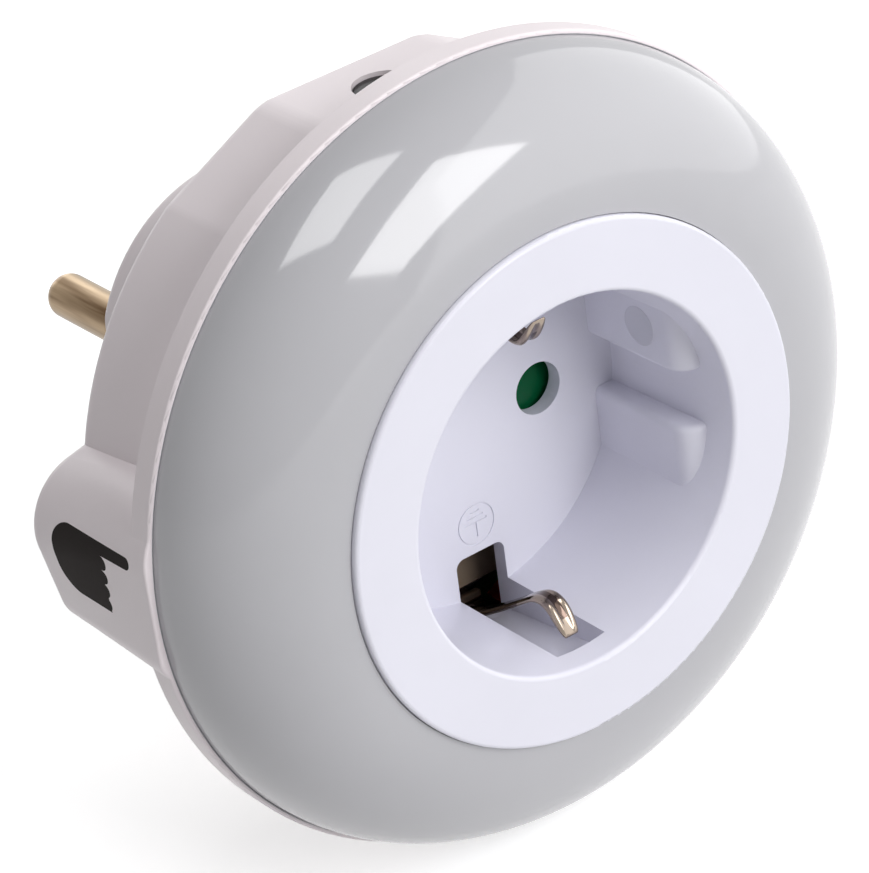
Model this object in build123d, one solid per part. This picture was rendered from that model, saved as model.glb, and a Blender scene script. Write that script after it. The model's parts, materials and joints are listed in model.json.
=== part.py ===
from build123d import *
import os
from math import cos, radians, sin

# Plug-in LED night light with a pass-through earthed socket.
# An opal ring glows around the socket well, a dusk sensor looks up through the top of the shell,
# and a touch switch sits in the lobe on the left. Two bare brass pins carry it in a wall socket.
#
# Frame, in millimetres: the origin is the centre of the plug's contact face, +Y runs along the
# pins into the wall, +Z is up, and +X is right as seen from the front.
# Depths are counted from the front face of the socket flange towards the wall.

# ---- Plug and socket system ----
PIN_SPACING = 19.0
PIN_R = 2.4
PIN_LENGTH = 19.0
PIN_TIP_ROUND = 1.8
PIN_NECK_R = 2.2
PIN_NECK_LENGTH = 1.0
PIN_FLANGE_R = 4.2
PIN_FLANGE_T = 1.6
PIN_STUB_R = 1.5
PIN_BORE_CLEAR = 0.05

# ---- Socket insert: flange, well and floor ----
FLANGE_WIDTH = 5.45
FLANGE_T = 2.0
FLANGE_ROUND = 0.4
WELL_MOUTH_R = 19.15
WELL_FLOOR_R = 18.9
WELL_DEPTH = 17.9
WELL_LIP_ROUND = 0.5
TUBE_WALL = 1.9
FLOOR_T = 1.7
SOCKET_HOLE_R = 2.75
RIB_HEIGHT = 2.75
RIB_HALF_GAP = 3.0
RIB_FRONT = 3.9
RIB_ROUND = 2.4
RIB_EDGE_ROUND = 0.7
SLOT_WIDTH = 6.0
SLOT_REACH_IN = 4.95
SLOT_FRONT = 3.1
SLOT_FRONT_SINK = 1.75
SLOT_BACK_SINK = 3.45
SLOT_CORNER = 1.0
SLOT_WALL = 1.0
POST_R = 2.2
POST_STEP = 1.65
POST_COUNT = 4
PEG_R = 0.9
PEG_CIRCLE_R = 15.7
PEG_COUNT = 4
SYMBOL_Z = -11.1
SYMBOL_R = 2.3
SYMBOL_LINE = 0.22
SYMBOL_DEPTH = 0.12

# ---- Shutter that closes the pin holes ----
SHUTTER_GAP = 0.5
SHUTTER_T = 1.8
SHUTTER_RAMP = 0.9
SHUTTER_R = 12.9
SHUTTER_HALF_ANGLE = 20.0
SHUTTER_HUB_R = 4.2
SHUTTER_POST_R = 1.6
SHUTTER_BORE_CLEAR = 0.05
COVER_GAP = 0.35
COVER_T = 2.4
COVER_WALL = 1.0
COVER_SIDE_CLEAR = 0.4
COVER_LUG_R = 1.9
COVER_HOLE_CLEAR = 0.3
SPRING_POCKET_R = 4.2
SPRING_POCKET_DEPTH = 1.7
SPRING_COIL_R = 3.2
SPRING_WIRE_R = 0.22
SPRING_TURNS = 2.5
SPRING_PITCH = 0.5

# ---- Contacts in their carrier ----
CARRIER_CLEAR = 0.3
CONTACT_BORE_R = 4.3
CONTACT_SETBACK = 0.5
CONTACT_LENGTH = 13.6
CONTACT_WALL = 0.55
CONTACT_GRIP_CLEAR = 0.05
CONTACT_SLIT = 0.6
CONTACT_SLIT_LENGTH = 10.0
CONTACT_BASE_T = 2.0
TAG_LENGTH = 4.8
TAG_WIDTH = 2.4
TAG_T = 0.6
TAG_SETBACK = 1.0
TAG_SLOT_CLEAR = 0.4
TAG_BACK_CLEAR = 1.95

# ---- Earth path: spring clips, straps and bridge ----
CLIP_WIDTH = 2.4
CLIP_T = 0.6
CLIP_HUMP_DEPTH = {"bottom": 7.55, "top": 6.2}
CLIP_HUMP_RISE = {"bottom": 4.85, "top": 5.85}
CLIP_TIP_DEPTH = {"bottom": 4.85, "top": 3.9}
CLIP_TIP_RISE = {"bottom": 0.45, "top": 1.85}
CLIP_KNEE_SETBACK = 0.4
CLIP_KNEE_SINK = 2.55
CLIP_HINGE_SETBACK = 2.8
CLIP_HINGE_SINK = 3.75
CLIP_HUMP_BEND = 1.5
CLIP_KNEE_BEND = 3.0
CLIP_BEAD_R = 0.7
CRADLE_CLEAR = 0.05
CRADLE_WALL = 0.6
STRAP_WIDTH = 5.0
STRAP_T = 0.8
STRAP_BEND = 1.2
STRAP_FACE_Z = 17.1
STRAP_END = 4.0
STRAP_SLOT_CLEAR = 0.1
BRIDGE_WIDTH = 3.6
BRIDGE_T = 0.8
BRIDGE_SLOT_CLEAR = 0.3
BRIDGE_END_CLEAR = 0.2
RIVET_R = 1.0
RIVET_HEAD_R = 1.5
RIVET_HEAD_T = 0.5

# ---- Diffuser dome ----
DOME_WIDTH = 14.0
DOME_TOP = 0.7
DOME_DEPTH = 12.6
DOME_WALL = 1.5
DOME_FOOT = 0.6
DOME_GAP = 0.1
DOME_LIP_CLEAR = 0.3
DOME_LIP_T = 1.2
DOME_LIP_REACH = 0.9

# ---- Rear shell ----
RIM_WALL = 0.5
RIM_LIP = 1.2
RIM_OVERHANG = 5.0
RIM_ROUND = 0.3
LEDGE_T = 1.5
SHELL_WALL = 2.0
SHELL_EDGE_ROUND = 1.4
TOP_FLAT_DROP = 1.1
SIDE_FLAT_DROP = 0.55
SIDE_FLAT_ANGLE = 26.6
FACET_ROUND = 4.0
BOSS_R = 17.5
BOSS_LENGTH = 23.8
BOSS_WALL = 2.7
BOSS_END_WALL = 2.2
BOSS_EDGE_ROUND = 1.0
NOTCH_X = 16.0
NOTCH_HALF_GAP = 2.4
NOTCH_HEIGHT = 8.2
NOTCH_LENGTH = 18.5

# ---- Touch lobe on the left, in a frame turned LOBE_TILT below the -X axis ----
LOBE_TILT = 13.7
LOBE_SETBACK = 0.6
LOBE_LOW = 0.4
LOBE_HEIGHT = 16.6
LOBE_PROUD = 0.2
LOBE_FRONT_LOW = -8.15
LOBE_FRONT_HEIGHT = 19.15
LOBE_TOP_ROUND = 6.6
LOBE_LOW_ROUND = 3.5
LOBE_WALL = 1.8
LOBE_SPAN = 10.45
TOUCH_PLATE_T = 0.4
TOUCH_PLATE_LENGTH = 9.0

# ---- Hand pictogram in the lobe's outer wall ----
HAND_T = 0.3
HAND_BACK_MARGIN = 3.8
HAND_LENGTH = 12.4
FINGER_LENGTH = 3.9
HAND_TOP_Z = 5.5
HAND_LOW_Z = -2.25
HAND_BACK_ROUND = 2.7
FINGER_HEIGHT = 1.3
KNUCKLE_COUNT = 4
KNUCKLE_STEP = 0.22

# ---- Dusk sensor ----
SENSOR_SETBACK = 3.2
SENSOR_HOLE_R = 3.05
SENSOR_RECESS = 0.7
SENSOR_CLEAR = 0.1
SENSOR_SHOULDER_R = 3.9
SENSOR_SHOULDER_T = 1.2
CELL_R = 2.5
CELL_T = 2.1
CELL_LEG_R = 0.25
CELL_LEG_SPACING = 2.54
CELL_LEG_DROP = 1.2
CELL_LEG_BEND = 0.6

# ---- Light ring ----
LED_BOARD_INNER_CLEAR = 0.7
LED_BOARD_T = 1.2
LED_BOARD_CLEAR = 0.3
LED_COUNT = 18
LED_WIDTH = 3.5
LED_DEPTH = 2.8
LED_T = 0.9
REFLECTOR_T = 0.8
REFLECTOR_WINDOW_CLEAR = 0.3
REFLECTOR_EDGE_CLEAR = 0.5
LED_SCREW_ANGLES = (-90.0, 30.0, 150.0)

# ---- Driver board ----
DRIVER_T = 1.2
DRIVER_EDGE_CLEAR = 0.5
STANDOFF_R = 2.3
STANDOFF_HEIGHT = 0.9
STANDOFF_ANGLES = (20.0, 128.0, 200.0, 340.0)
FILM_CAP_SIZE = (13.0, 5.4, 10.5)
FILM_CAP_ANGLE = -62.0
BULK_CAP_R = 3.15
BULK_CAP_HEIGHT = 11.0
BULK_CAP_ANGLE = -100.0
RECTIFIER_SIZE = (6.4, 4.8, 2.6)
RECTIFIER_ANGLE = -122.0
CHIP_SIZE = (5.0, 4.0, 1.6)
CHIP_ANGLE = 148.0
RESISTOR_R = 1.2
RESISTOR_LENGTH = 6.5
RESISTOR_ANGLES = (-145.0, 45.0)
RESISTOR_LEG_R = 0.3
FUSE_R = 1.6
FUSE_LENGTH = 7.0
FUSE_ANGLE = -38.0
HEADER_ANGLE = 68.0
HEADER_SPACING = 2.54
HEADER_PIN_R = 0.32
HEADER_SIZE = (5.1, 2.5, 2.5)

# ---- Screws ----
CASE_SCREW_R = 1.05
CASE_SCREW_LENGTH = 9.0
CASE_SCREW_HEAD_R = 2.3
CASE_SCREW_HEAD_T = 1.2
CASE_SCREW_CLEAR = 0.3
BOARD_SCREW_R = 0.75
BOARD_SCREW_LENGTH = 3.2
BOARD_SCREW_HEAD_R = 1.5
BOARD_SCREW_HEAD_T = 0.9
BOARD_SCREW_CLEAR = 0.2
SCREW_TIP_GAP = 0.5
DRIVE_SLOT = 0.45
DRIVE_DEPTH = 0.5

# ---- Internal leads ----
LEAD_R = 0.65
LEAD_RUN = 3.4
LEAD_RISE = 3.8
LEAD_LAND_Z = -6.0

# ---- Places that follow from the sizes above ----
PIN_X = PIN_SPACING / 2
TUBE_R = WELL_MOUTH_R + TUBE_WALL
FLANGE_R = TUBE_R + FLANGE_WIDTH
POST_CIRCLE_R = TUBE_R + POST_STEP
POST_REACH = POST_CIRCLE_R + POST_R
RIB_FACE_X = WELL_MOUTH_R - RIB_HEIGHT
SLOT_INNER_Z = WELL_MOUTH_R - SLOT_REACH_IN
SLOT_FRONT_Z = WELL_MOUTH_R + SLOT_FRONT_SINK
SLOT_BACK_Z = WELL_MOUTH_R + SLOT_BACK_SINK
DOME_R = FLANGE_R + DOME_WIDTH
DOME_LIP_R = POST_REACH + DOME_LIP_CLEAR
RIM_R = DOME_R + RIM_WALL
SHELL_R = RIM_R - RIM_OVERHANG
TOP_FLAT_Z = SHELL_R - TOP_FLAT_DROP
SIDE_FLAT_REACH = SHELL_R - SIDE_FLAT_DROP
LOBE_REACH = RIM_R - LOBE_SETBACK
LOBE_ROOT = LOBE_REACH - LOBE_SPAN

FLOOR_BACK = WELL_DEPTH + FLOOR_T
SHUTTER_FRONT = FLOOR_BACK + SHUTTER_GAP
SHUTTER_BACK = SHUTTER_FRONT + SHUTTER_T
COVER_FRONT = SHUTTER_BACK + COVER_GAP
COVER_BACK = COVER_FRONT + COVER_T
COVER_R = SHUTTER_R + COVER_SIDE_CLEAR + COVER_WALL
CONTACT_FRONT = COVER_BACK + CONTACT_SETBACK
CONTACT_BASE = CONTACT_FRONT + CONTACT_LENGTH
CONTACT_INNER_R = PIN_R + CONTACT_GRIP_CLEAR
CONTACT_OUTER_R = CONTACT_INNER_R + CONTACT_WALL
TAG_FRONT = CONTACT_FRONT + TAG_SETBACK
TAG_END_X = PIN_X + CONTACT_OUTER_R + TAG_LENGTH

SEAT = DOME_DEPTH + DOME_FOOT
RIM_FRONT = SEAT - RIM_LIP
LEDGE_BACK = SEAT + LEDGE_T
SHELL_INNER_BACK = TAG_FRONT + TAG_T + TAG_BACK_CLEAR
SHELL_BACK = SHELL_INNER_BACK + SHELL_WALL
PLUG_FACE = SHELL_BACK + BOSS_LENGTH
BOSS_INNER_R = BOSS_R - BOSS_WALL
CARRIER_BACK = PLUG_FACE - BOSS_END_WALL

CLIP_HINGE_DEPTH = FLOOR_BACK + CLIP_HINGE_SETBACK
CLIP_HINGE_Z = WELL_MOUTH_R + CLIP_HINGE_SINK
STRAP_LEG = SHELL_INNER_BACK - STRAP_T / 2
STRAP_MID_Z = STRAP_FACE_Z - STRAP_T / 2
BRIDGE_BACK = SHELL_INNER_BACK - STRAP_T
BRIDGE_REACH = CLIP_HINGE_Z - STRAP_BEND - BRIDGE_END_CLEAR
RIVET_Z = BRIDGE_REACH - BRIDGE_WIDTH / 2

LED_BOARD_INNER_R = FLANGE_R + LED_BOARD_INNER_CLEAR
LED_BOARD_OUTER_R = DOME_R - DOME_WALL - LED_BOARD_CLEAR
LED_BOARD_FRONT = SEAT - LED_BOARD_T
LED_CIRCLE_R = (LED_BOARD_INNER_R + LED_BOARD_OUTER_R) / 2
LED_SCREW_CIRCLE_R = SHELL_R - SHELL_WALL / 2
DRIVER_BACK = SHELL_INNER_BACK - STANDOFF_HEIGHT
DRIVER_FRONT = DRIVER_BACK - DRIVER_T
SENSOR_DEPTH = DRIVER_FRONT - SENSOR_SETBACK
LENS_TOP_Z = TOP_FLAT_Z - SENSOR_RECESS
LENS_SHOULDER_Z = TOP_FLAT_Z - SHELL_WALL
LENS_BACK_Z = LENS_SHOULDER_Z - SENSOR_SHOULDER_T
DRIVER_INNER_R = POST_REACH + DRIVER_EDGE_CLEAR
DRIVER_OUTER_R = LENS_BACK_Z - DRIVER_EDGE_CLEAR
DRIVER_MID_R = (DRIVER_INNER_R + DRIVER_OUTER_R) / 2

HAND_BACK_DEPTH = SHELL_BACK - HAND_BACK_MARGIN
HAND_TIP_DEPTH = HAND_BACK_DEPTH - HAND_LENGTH
HAND_KNUCKLE_DEPTH = HAND_TIP_DEPTH + FINGER_LENGTH
HAND_HEIGHT = HAND_TOP_Z - HAND_LOW_Z
OVERCUT = 1.0
SIDES = {"left": -1, "right": 1}
ENDS = {"bottom": -1, "top": 1}


def y_of(depth):
    return depth - PLUG_FACE


def at(depth):
    """The XZ plane at a depth, facing the front."""
    return Plane.XZ.offset(-y_of(depth))


def slab(sketch, front, back):
    """A flat sketch in X and Z, made solid between two depths."""
    return extrude(at(back) * sketch, back - front)


def rod(radius, front, back, x=0.0, z=0.0):
    return slab(Pos(x, z) * Circle(radius), front, back)


def tube(outer, inner, front, back):
    return slab(Circle(outer) - Circle(inner), front, back)


def block(x_from, x_to, z_from, z_to, front, back):
    plate = Pos((x_from + x_to) / 2, (z_from + z_to) / 2) * Rectangle(x_to - x_from, abs(z_to - z_from))
    return slab(plate, front, back)


def turned(points):
    """A ring turned about the Y axis from corners given as (radius, depth)."""
    outline = Polyline([(radius, y_of(depth)) for radius, depth in points], close=True)
    return revolve(make_face(outline), Axis.Y)


def around(radius, angle):
    return radius * cos(radians(angle)), radius * sin(radians(angle))


def spread(count, first=0.0):
    return [first + 360.0 * index / count for index in range(count)]


def on_ring(radius, angle):
    """A place on a circle about Y, with its own X pointing outwards along the radius."""
    return Rot(0, -angle, 0) * Pos(radius, 0, 0)


# ---- Socket insert ----

def guide_rib(side, end):
    """A rib beside the pin line that steers a plug in, rounded at its front."""
    side_view = make_face(Polyline([
        (RIB_FACE_X, y_of(RIB_FRONT)), (TUBE_R, y_of(RIB_FRONT)),
        (TUBE_R, y_of(WELL_DEPTH)), (RIB_FACE_X, y_of(WELL_DEPTH))], close=True))
    corner = side_view.vertices().sort_by(Axis.X)[:2].sort_by(Axis.Y)[0]
    side_view = fillet(corner, RIB_ROUND)
    rib = Pos(0, 0, RIB_HALF_GAP) * extrude(side_view, TUBE_R)
    long_edges = rib.faces().sort_by(Axis.Z)[0].edges().filter_by_position(
        Axis.X, RIB_FACE_X - 0.01, RIB_FACE_X + 0.01)
    rib = fillet(long_edges, RIB_EDGE_ROUND)
    rib = rib & rod(TUBE_R - TUBE_WALL / 2, 0, WELL_DEPTH)
    rib = rib if end > 0 else mirror(rib, Plane.XY)
    return rib if side > 0 else mirror(rib, Plane.YZ)


def slot_cutter(end):
    """The clip's channel in the well wall, and the hole in the floor behind it."""
    channel = Polyline([
        (y_of(SLOT_FRONT), SLOT_INNER_Z + TUBE_WALL), (y_of(SLOT_FRONT), SLOT_FRONT_Z),
        (y_of(FLOOR_BACK), SLOT_BACK_Z), (y_of(FLOOR_BACK), SLOT_INNER_Z + TUBE_WALL)], close=True)
    cutter = extrude(Plane.YZ * make_face(channel), SLOT_WIDTH / 2, both=True)
    height = SLOT_BACK_Z - SLOT_INNER_Z
    window = Pos(0, SLOT_INNER_Z + height / 2) * RectangleRounded(SLOT_WIDTH, height, SLOT_CORNER)
    cutter = cutter + slab(window, WELL_DEPTH, FLOOR_BACK)
    return cutter if end > 0 else mirror(cutter, Plane.XY)


def earth_symbol():
    """The plain earth sign, sunk a little into the floor."""
    sign = Circle(SYMBOL_R) - Circle(SYMBOL_R - SYMBOL_LINE)
    step = SYMBOL_R / 4
    for index, length in enumerate((1.2, 0.85, 0.5)):
        sign = sign + Pos(0, index * step + step / 2) * Rectangle(length * SYMBOL_R, SYMBOL_LINE)
    sign = sign + Pos(0, -step) * Rectangle(SYMBOL_LINE, 3 * step)
    return slab(Pos(0, SYMBOL_Z) * sign, WELL_DEPTH, WELL_DEPTH + SYMBOL_DEPTH)


def socket_insert():
    """The flange and the well's wall, with its ribs, clip channels and the posts behind it."""
    body = turned([
        (WELL_MOUTH_R, 0), (FLANGE_R, 0), (FLANGE_R, FLANGE_T), (TUBE_R, FLANGE_T),
        (TUBE_R, FLOOR_BACK), (WELL_FLOOR_R, FLOOR_BACK), (WELL_FLOOR_R, WELL_DEPTH)])
    front_edges = body.edges().filter_by(GeomType.CIRCLE).group_by(Axis.Y)[0].sort_by(SortBy.RADIUS)
    body = fillet(front_edges[0], WELL_LIP_ROUND)
    outer_edge = body.edges().filter_by(GeomType.CIRCLE).group_by(Axis.Y)[0].sort_by(SortBy.RADIUS)[-1]
    body = fillet(outer_edge, FLANGE_ROUND)
    half = SLOT_WIDTH / 2 + SLOT_WALL
    for end in ENDS.values():
        inner = end * (TUBE_R - TUBE_WALL / 2)
        outer = end * (SLOT_BACK_Z + SLOT_WALL)
        body = body + block(-half, half, inner, outer, FLANGE_T, FLOOR_BACK)
        for side in SIDES.values():
            body = body + guide_rib(side, end)
    for angle in spread(POST_COUNT, 45.0):
        x, z = around(POST_CIRCLE_R, angle)
        body = body + rod(POST_R, FLANGE_T, SHELL_INNER_BACK, x, z)
    for end in ENDS.values():
        body = body - slot_cutter(end)
    pilot_front = SHELL_BACK - CASE_SCREW_HEAD_T - CASE_SCREW_LENGTH - SCREW_TIP_GAP
    for angle in spread(POST_COUNT, 45.0):
        x, z = around(POST_CIRCLE_R, angle)
        body = body - rod(CASE_SCREW_R, pilot_front, SHELL_INNER_BACK, x, z)
    return body


def socket_floor():
    """The disc that closes the well, with the pin holes, and pegs behind it for the shutter's cover."""
    body = rod(WELL_FLOOR_R, WELL_DEPTH, FLOOR_BACK)
    for angle in spread(PEG_COUNT, 45.0):
        x, z = around(PEG_CIRCLE_R, angle)
        body = body + rod(PEG_R, FLOOR_BACK, COVER_BACK, x, z)
    for end in ENDS.values():
        body = body - slot_cutter(end)
    for side in SIDES.values():
        body = body - rod(SOCKET_HOLE_R, WELL_DEPTH - OVERCUT, FLOOR_BACK + OVERCUT, side * PIN_X)
    return body - earth_symbol()


# ---- Shutter, its cover and spring ----

def wing_sketch():
    reach = 2 * SHUTTER_R
    spread_z = reach * sin(radians(SHUTTER_HALF_ANGLE)) / cos(radians(SHUTTER_HALF_ANGLE))
    bow_tie = make_face(Polyline([(0, 0), (reach, spread_z), (reach, -spread_z)], close=True))
    bow_tie = bow_tie + make_face(Polyline([(0, 0), (-reach, spread_z), (-reach, -spread_z)], close=True))
    return bow_tie & Circle(SHUTTER_R)


def shutter():
    """A two-winged disc: pin tips push its ramps, and it turns until both holes are clear."""
    plate = wing_sketch() + Circle(SHUTTER_HUB_R) - Circle(SHUTTER_POST_R + SHUTTER_BORE_CLEAR)
    body = slab(plate, SHUTTER_FRONT, SHUTTER_BACK)
    half = SHUTTER_R * sin(radians(SHUTTER_HALF_ANGLE))
    ramp = make_face(Polyline([
        (y_of(SHUTTER_FRONT) - OVERCUT, -half), (y_of(SHUTTER_FRONT), -half),
        (y_of(SHUTTER_FRONT + SHUTTER_RAMP), half), (y_of(SHUTTER_FRONT) - OVERCUT, half)], close=True))
    inner = SHUTTER_HUB_R + COVER_GAP
    cutter = Pos(inner, 0, 0) * extrude(Plane.YZ * ramp, SHUTTER_R)
    return body - cutter - Rot(0, 180, 0) * cutter


def shutter_cover():
    """Closes the shutter in behind the floor, and carries the post it turns on."""
    body = rod(COVER_R, COVER_FRONT, COVER_BACK)
    body = body + tube(COVER_R, COVER_R - COVER_WALL, FLOOR_BACK, COVER_FRONT)
    for angle in spread(PEG_COUNT, 45.0):
        x, z = around(PEG_CIRCLE_R, angle)
        body = body + rod(COVER_LUG_R, FLOOR_BACK, COVER_BACK, x, z)
    body = body - rod(COVER_R - COVER_WALL, FLOOR_BACK, COVER_FRONT)
    for angle in spread(PEG_COUNT, 45.0):
        x, z = around(PEG_CIRCLE_R, angle)
        body = body - rod(PEG_R, FLOOR_BACK, COVER_BACK, x, z)
    for side in SIDES.values():
        hole_r = SOCKET_HOLE_R + COVER_HOLE_CLEAR
        body = body - rod(hole_r, COVER_FRONT, COVER_BACK, side * PIN_X)
    body = body - rod(SPRING_POCKET_R, COVER_FRONT, COVER_FRONT + SPRING_POCKET_DEPTH)
    return body + rod(SHUTTER_POST_R, FLOOR_BACK, COVER_FRONT + SPRING_POCKET_DEPTH)


def shutter_spring():
    """The torsion coil round the post that turns the shutter back over the holes."""
    back = COVER_FRONT + SPRING_POCKET_DEPTH - 2 * SPRING_WIRE_R
    coil = Helix(SPRING_PITCH, SPRING_TURNS * SPRING_PITCH, SPRING_COIL_R)
    coil = Pos(0, y_of(back), 0) * Rot(90, 0, 0) * coil
    section = Plane(coil @ 0, z_dir=coil % 0) * Circle(SPRING_WIRE_R)
    return sweep(section, coil)


# ---- Carrier, contacts and plug pins ----

def pin_carrier():
    """The block in the plug boss that holds both contacts and both pins apart."""
    body = rod(BOSS_INNER_R - CARRIER_CLEAR, COVER_BACK, CARRIER_BACK)
    for side in SIDES.values():
        body = body - rod(CONTACT_BORE_R, COVER_BACK, CARRIER_BACK, side * PIN_X)
        half = TAG_WIDTH / 2 + TAG_SLOT_CLEAR
        slot_back = TAG_FRONT + TAG_T + TAG_SLOT_CLEAR
        body = body - block(*sorted((side * PIN_X, side * BOSS_R)), -half, half, COVER_BACK, slot_back)
    half = BRIDGE_WIDTH / 2 + BRIDGE_SLOT_CLEAR
    slot_back = BRIDGE_BACK + BRIDGE_SLOT_CLEAR
    return body - block(-half, half, -BOSS_R, BOSS_R, COVER_BACK, slot_back)


def contact(side):
    """A slit sleeve that grips a plug's pin, with a solder tag and a base riveted to the plug pin."""
    body = tube(CONTACT_OUTER_R, CONTACT_INNER_R, CONTACT_FRONT, CONTACT_BASE)
    half = CONTACT_SLIT / 2
    slit = block(-CONTACT_BORE_R, CONTACT_BORE_R, -half, half,
                 CONTACT_FRONT, CONTACT_FRONT + CONTACT_SLIT_LENGTH)
    body = body - Rot(0, 45, 0) * slit - Rot(0, -45, 0) * slit
    body = body + rod(PIN_FLANGE_R, CONTACT_BASE, CONTACT_BASE + CONTACT_BASE_T)
    body = body - rod(PIN_STUB_R, CONTACT_BASE, CONTACT_BASE + CONTACT_BASE_T)
    root = CONTACT_OUTER_R - CONTACT_WALL / 2
    tag = block(root, CONTACT_OUTER_R + TAG_LENGTH, -TAG_WIDTH / 2, TAG_WIDTH / 2,
                TAG_FRONT, TAG_FRONT + TAG_T)
    body = body + tag
    if side < 0:
        body = Rot(0, 180, 0) * body
    return Pos(side * PIN_X, 0, 0) * body


def plug_pin(side):
    """A turned brass pin: riveting stub, shank, holding flange, relieved neck and rounded tip."""
    tip = PLUG_FACE + PIN_LENGTH
    shank = rod(PIN_R, CONTACT_BASE + CONTACT_BASE_T, tip)
    shank = fillet(shank.edges().filter_by(GeomType.CIRCLE).sort_by(Axis.Y)[-1], PIN_TIP_ROUND)
    shank = shank - tube(PIN_FLANGE_R, PIN_NECK_R, PLUG_FACE - PIN_NECK_LENGTH, PLUG_FACE)
    stub = rod(PIN_STUB_R, CONTACT_BASE, CONTACT_BASE + CONTACT_BASE_T)
    flange = rod(PIN_FLANGE_R, CARRIER_BACK - PIN_FLANGE_T, CARRIER_BACK)
    return Pos(side * PIN_X, 0, 0) * (shank + stub + flange)


# ---- Earth path ----

def strip(route, width, thickness):
    """A flat strip swept along a route of straight runs and bends in the YZ plane."""
    section = Plane(route @ 0, x_dir=(1, 0, 0), z_dir=route % 0) * Rectangle(width, thickness)
    return sweep(section, route)


def route_of(points, bends):
    return FilletPolyline([(0, y_of(depth), z) for depth, z in points], radius=bends)


def earth_clip(end):
    """The leaf that touches the side contact of a plug, with a bead at its root."""
    place = "top" if end > 0 else "bottom"
    knee = (FLOOR_BACK - CLIP_KNEE_SETBACK, WELL_MOUTH_R + CLIP_KNEE_SINK)
    hump = (CLIP_HUMP_DEPTH[place], WELL_MOUTH_R - CLIP_HUMP_RISE[place])
    tip = (CLIP_TIP_DEPTH[place], WELL_MOUTH_R - CLIP_TIP_RISE[place])
    route = route_of([(CLIP_HINGE_DEPTH, CLIP_HINGE_Z), knee, hump, tip], [CLIP_KNEE_BEND, CLIP_HUMP_BEND])
    leaf = strip(route, CLIP_WIDTH, CLIP_T)
    bead = Rot(0, 90, 0) * Cylinder(CLIP_BEAD_R, STRAP_WIDTH)
    bead = Pos(0, y_of(CLIP_HINGE_DEPTH), CLIP_HINGE_Z) * bead
    body = leaf + bead
    return body if end > 0 else mirror(body, Plane.XY)


def earth_strap(end):
    """From the cradle that holds the clip's bead, back through the shell and along the plug boss."""
    depth, z = CLIP_HINGE_DEPTH, CLIP_HINGE_Z
    inner = CLIP_BEAD_R + CRADLE_CLEAR
    outer = inner + CRADLE_WALL
    hinge = Pos(0, y_of(depth), z) * Rot(0, 90, 0)
    cradle = hinge * (Cylinder(outer, STRAP_WIDTH) - Cylinder(inner, STRAP_WIDTH))
    start = depth + inner + CRADLE_WALL / 2
    route = route_of([(start, z), (STRAP_LEG, z), (STRAP_LEG, STRAP_MID_Z),
                      (PLUG_FACE - STRAP_END, STRAP_MID_Z)], [STRAP_BEND, STRAP_BEND])
    body = cradle + strip(route, STRAP_WIDTH, STRAP_T)
    mouth_front = depth - outer - OVERCUT
    body = body - block(-STRAP_WIDTH, STRAP_WIDTH, z - outer, z + outer, mouth_front, depth - inner / 3)
    body = body - rod(RIVET_R, BRIDGE_BACK, SHELL_INNER_BACK, 0, RIVET_Z)
    return body if end > 0 else mirror(body, Plane.XY)


def earth_bridge():
    """Joins the two straps through the carrier, between the live contacts."""
    body = slab(SlotOverall(2 * BRIDGE_REACH, BRIDGE_WIDTH, 90), BRIDGE_BACK - BRIDGE_T, BRIDGE_BACK)
    for end in ENDS.values():
        body = body - rod(RIVET_R, BRIDGE_BACK - BRIDGE_T, BRIDGE_BACK, 0, end * RIVET_Z)
    return body


def earth_rivets():
    head_back = BRIDGE_BACK - BRIDGE_T
    rivets = []
    for end in ENDS.values():
        head = rod(RIVET_HEAD_R, head_back - RIVET_HEAD_T, head_back, 0, end * RIVET_Z)
        rivets.append(head + rod(RIVET_R, head_back, SHELL_INNER_BACK, 0, end * RIVET_Z))
    return Compound(rivets)


# ---- Diffuser ----

def dome_arc(radius, depth_reach):
    """A quarter of an ellipse in (radius, y), from the dome's crown to its foot."""
    centre = (FLANGE_R + DOME_GAP, y_of(DOME_DEPTH))
    return EllipticalCenterArc(centre, radius, depth_reach, 270, arc_size=90)


def diffuser():
    crown_r = FLANGE_R + DOME_GAP
    outer = dome_arc(DOME_R - crown_r, DOME_DEPTH - DOME_TOP)
    inner = dome_arc(DOME_R - DOME_WALL - crown_r, DOME_DEPTH - DOME_TOP - DOME_WALL)
    foot = Polyline([outer @ 1, (DOME_R, y_of(SEAT)), (DOME_R - DOME_WALL, y_of(SEAT)), inner @ 1])
    crown = Line(outer @ 0, inner @ 0)
    shell = make_face([outer, foot, inner, crown])
    body = revolve(shell, Axis.Y)
    lip_back = FLANGE_T + DOME_LIP_T
    lip = turned([(DOME_LIP_R, FLANGE_T), (crown_r + DOME_LIP_REACH, FLANGE_T),
                  (crown_r + DOME_LIP_REACH, lip_back), (DOME_LIP_R, lip_back)])
    return body + lip


# ---- Rear shell ----

def shell_outline(inset):
    """The shell's outline seen from the front: a circle with three flats at the top."""
    face = Circle(SHELL_R - inset)
    size = 2 * SHELL_R
    cuts = ((0.0, TOP_FLAT_Z), (SIDE_FLAT_ANGLE, SIDE_FLAT_REACH), (-SIDE_FLAT_ANGLE, SIDE_FLAT_REACH))
    for angle, reach in cuts:
        face = face - Rot(0, 0, angle) * Pos(0, reach - inset + size / 2) * Rectangle(2 * size, size)
    corners = face.vertices().filter_by(lambda corner: abs(corner.X) > OVERCUT)
    return fillet(corners, FACET_ROUND)


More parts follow.
